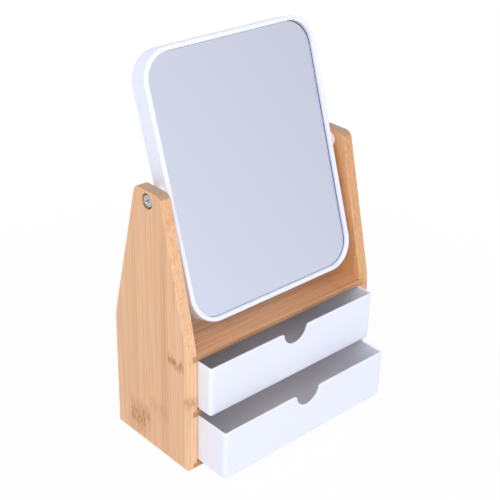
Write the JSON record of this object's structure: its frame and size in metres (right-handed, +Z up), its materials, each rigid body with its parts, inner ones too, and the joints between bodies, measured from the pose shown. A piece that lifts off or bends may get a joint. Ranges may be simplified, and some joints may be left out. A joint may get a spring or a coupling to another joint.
{
  "type": "makeup mirror with storage",
  "caption": "Table-top make-up mirror that tilts between two tapered bamboo side panels, over a narrow shelf and a case of white pull-out drawers with finger notches.",
  "frame": {"origin": "centre of the stand's footprint, on the surface that it rests on", "axes": "+X to the viewer's right along the pivot line, -Y towards the viewer, out of the drawers, +Z up"},
  "size_m": [0.19, 0.1174, 0.3087],
  "materials": {
    "bamboo": "clear satin lacquer",
    "white_plastic": "smooth satin",
    "mirror_glass": "silvered",
    "foam": "matt",
    "zinc_steel": "zinc plated",
    "chrome": "bright",
    "bush_plastic": "matt",
    "spacer_plastic": "matt",
    "brass": "turned"
  },
  "bodies": {
    "case": {"side_panel_left": "bamboo", "side_panel_right": "bamboo", "top_shelf": "bamboo", "drawer_divider": "bamboo", "bottom_board": "bamboo", "back_panel": "bamboo", "pivot_bush_left": "bush_plastic", "pivot_bush_right": "bush_plastic"},
    "mirror": {"frame_front_shell": "white_plastic", "frame_rear_shell": "white_plastic", "front_glass": "mirror_glass", "rear_glass": "mirror_glass", "front_tape": "foam", "rear_tape": "foam", "shell_screws": "zinc_steel", "pivot_screw_left": "chrome", "pivot_screw_right": "chrome", "pivot_washer_left": "zinc_steel", "pivot_washer_right": "zinc_steel", "pivot_spacer_left": "spacer_plastic", "pivot_spacer_right": "spacer_plastic", "pivot_nut_left": "brass", "pivot_nut_right": "brass"},
    "upper_drawer": {"upper_drawer": "white_plastic"},
    "lower_drawer": {"lower_drawer": "white_plastic"}
  },
  "joints": [
    {"name": "mirror_tilt", "type": "hinge", "parent": "case", "child": "mirror", "pos_m": [0, 0, 0.211], "axis": [-1, 0, 0], "continuous": true},
    {"name": "upper_drawer_slide", "type": "slide", "parent": "case", "child": "upper_drawer", "axis": [0, -1, 0], "range_m": [-0.014, 0.046]},
    {"name": "lower_drawer_slide", "type": "slide", "parent": "case", "child": "lower_drawer", "axis": [0, -1, 0], "range_m": [-0.0304, 0.0296]}
  ]
}
